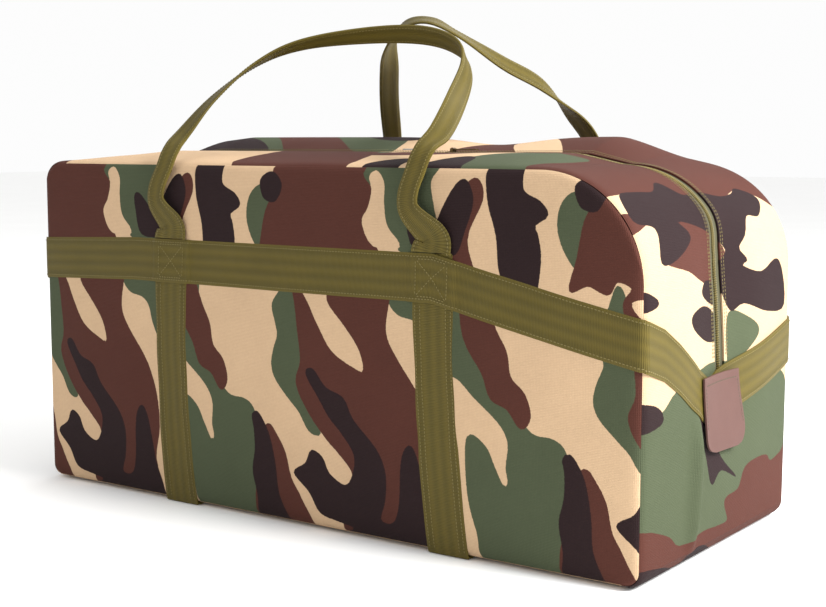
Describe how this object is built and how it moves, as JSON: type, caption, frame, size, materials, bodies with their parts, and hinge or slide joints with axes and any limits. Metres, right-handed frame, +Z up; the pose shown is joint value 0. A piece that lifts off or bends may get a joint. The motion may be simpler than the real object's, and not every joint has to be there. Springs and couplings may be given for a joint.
{
  "type": "travel bag",
  "caption": "Box-shaped travel bag of camouflage cloth with a webbing belt and straps, two webbing handles and a two-way zip over the top and down both ends.",
  "frame": {"origin": "centre of the base on the floor", "axes": "+X along the bag towards the end with the larger rounded corner, -Y the front, +Z up"},
  "size_m": [0.8362, 0.3852, 0.5673],
  "materials": {
    "camouflage_cloth": "printed woven canvas",
    "webbing": "woven webbing",
    "patch_cloth": "woven canvas",
    "binding": "bound edge tape",
    "zip_tape": "woven tape",
    "zip_coil": "polyester coil",
    "zip_metal": "pressed metal",
    "slider_bronze": "dark bronze plating",
    "puller_nickel": "nickel plating"
  },
  "bodies": {
    "root": {"back_panel": "camouflage_cloth", "base_panel": "camouflage_cloth", "base_strap_left": "webbing", "base_strap_right": "webbing", "belt": "webbing", "end_panel_left": "camouflage_cloth", "end_panel_right": "camouflage_cloth", "end_patch_left": "patch_cloth", "end_patch_right": "patch_cloth", "front_panel": "camouflage_cloth", "gusset_back_left": "camouflage_cloth", "gusset_back_right": "camouflage_cloth", "gusset_front_left": "camouflage_cloth", "gusset_front_right": "camouflage_cloth", "seam_binding_back": "binding", "seam_binding_front": "binding", "strap_back_left": "webbing", "strap_back_right": "webbing", "strap_front_left": "webbing", "strap_front_right": "webbing", "zip_coil_back_left": "zip_coil", "zip_coil_back_right": "zip_coil", "zip_coil_front_left": "zip_coil", "zip_coil_front_right": "zip_coil", "zip_stop_left": "zip_metal", "zip_stop_right": "zip_metal", "zip_tape_back_left": "zip_tape", "zip_tape_back_right": "zip_tape", "zip_tape_front_left": "zip_tape", "zip_tape_front_right": "zip_tape"},
    "top_front": {"gusset_front_middle": "camouflage_cloth", "zip_tape_front_middle": "zip_tape", "zip_coil_front_middle": "zip_coil"},
    "top_back": {"gusset_back_middle": "camouflage_cloth", "zip_tape_back_middle": "zip_tape", "zip_coil_back_middle": "zip_coil"},
    "slider_left_body": {"slider_left": "slider_bronze"},
    "slider_right_body": {"slider_right": "slider_bronze"},
    "puller_left_body": {"puller_left": "puller_nickel"},
    "puller_right_body": {"puller_right": "slider_bronze"},
    "handle_front_body": {"handle_front": "webbing"},
    "handle_back_body": {"handle_back": "webbing"}
  },
  "joints": [
    {"name": "top_front_fold", "type": "hinge", "parent": "root", "child": "top_front", "pos_m": [0, -0.1755, 0.3975], "axis": [-1, 0, 0], "range_deg": [0, 80], "deforming": ["zip_tape_front_middle", "zip_coil_front_middle"]},
    {"name": "top_back_fold", "type": "hinge", "parent": "root", "child": "top_back", "pos_m": [0, 0.1755, 0.3975], "axis": [1, 0, 0], "range_deg": [0, 80], "deforming": ["zip_tape_back_middle", "zip_coil_back_middle"]},
    {"name": "slider_left_run", "type": "slide", "parent": "root", "child": "slider_left_body", "axis": [-1, 0, 0], "range_m": [0, 0.32]},
    {"name": "slider_right_run", "type": "slide", "parent": "root", "child": "slider_right_body", "axis": [1, 0, 0], "range_m": [0, 0.156]},
    {"name": "puller_left_flip", "type": "hinge", "parent": "slider_left_body", "child": "puller_left_body", "pos_m": [0.043, 0, 0.4147], "axis": [0, 1, 0], "range_deg": [0, 120]},
    {"name": "puller_right_flip", "type": "hinge", "parent": "slider_right_body", "child": "puller_right_body", "pos_m": [0.079, 0, 0.4147], "axis": [0, -1, 0], "range_deg": [0, 120]},
    {"name": "handle_front_swing", "type": "hinge", "parent": "root", "child": "handle_front_body", "pos_m": [0, -0.1852, 0.313], "axis": [1, 0, 0], "range_deg": [0, 170]},
    {"name": "handle_back_swing", "type": "hinge", "parent": "root", "child": "handle_back_body", "pos_m": [0, 0.1852, 0.313], "axis": [-1, 0, 0], "range_deg": [0, 170]}
  ],
  "couplings": [
    {"joint": "top_back_fold", "follows": "top_front_fold", "ratio": 1},
    {"joint": "slider_left_run", "follows": "top_front_fold", "m_per_rad": 0.22918},
    {"joint": "slider_right_run", "follows": "top_front_fold", "m_per_rad": 0.11173}
  ]
}
